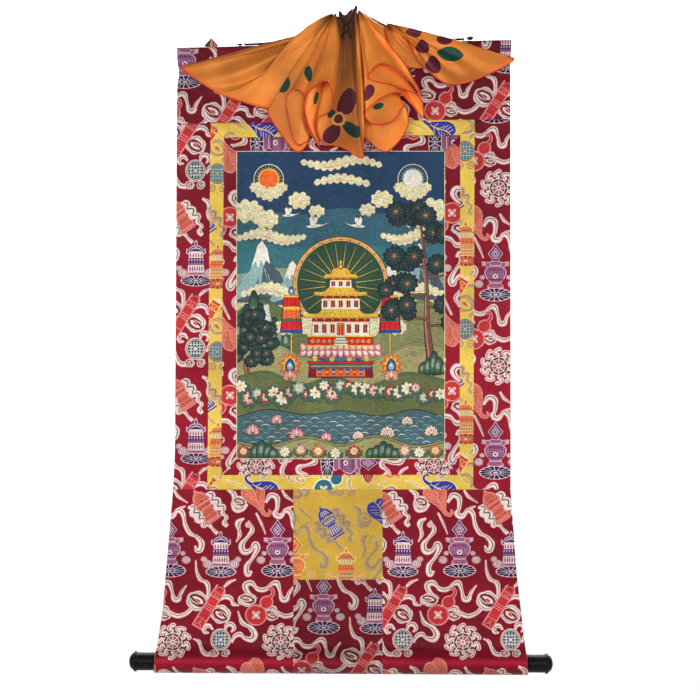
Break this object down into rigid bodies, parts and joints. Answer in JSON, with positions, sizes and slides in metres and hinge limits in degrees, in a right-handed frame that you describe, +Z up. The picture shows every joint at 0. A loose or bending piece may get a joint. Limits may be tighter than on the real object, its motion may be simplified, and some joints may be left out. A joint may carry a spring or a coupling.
{
  "type": "thangka hanging scroll with a bottom rod and silk cover",
  "caption": "Hanging scroll: framed picture panel in a brocade mount, with a gathered silk cover drawn up at the top, a hanging cord and a weighted rod in the bottom hem.",
  "frame": {"origin": "the hanging point, on top of the hanging cord's highest bend, in the middle of the gathered cover", "axes": "+Z up, the front of the scroll faces -Y, +X to the right of a viewer in front of it"},
  "size_m": [0.6357, 0.0576, 1.0018],
  "materials": {
    "red_brocade": "woven, with a soft sheen",
    "yellow_brocade": "woven, with a soft sheen",
    "woven_picture": "matt weave",
    "orange_silk": "satin",
    "black_cord": "matt",
    "wood": "plain",
    "black_lacquer": "satin"
  },
  "bodies": {
    "root": {"top_panel": "red_brocade", "side_left": "red_brocade", "side_right": "red_brocade", "lower_left": "red_brocade", "lower_centre": "red_brocade", "lower_right": "red_brocade", "yellow_top": "yellow_brocade", "yellow_right": "yellow_brocade", "yellow_low": "yellow_brocade", "yellow_left": "yellow_brocade", "inner_red_top": "red_brocade", "inner_red_right": "red_brocade", "inner_red_low": "red_brocade", "inner_red_left": "red_brocade", "picture_panel": "woven_picture", "door_patch": "yellow_brocade", "brocade_tab": "red_brocade", "silk_cover": "orange_silk", "hanging_cord": "black_cord", "cover_tie": "black_cord", "cord_stay_left": "black_cord", "cord_stay_right": "black_cord", "top_slat": "wood", "bottom_rod": "wood", "cap_left": "black_lacquer", "cap_right": "black_lacquer"}
  },
  "joints": []
}
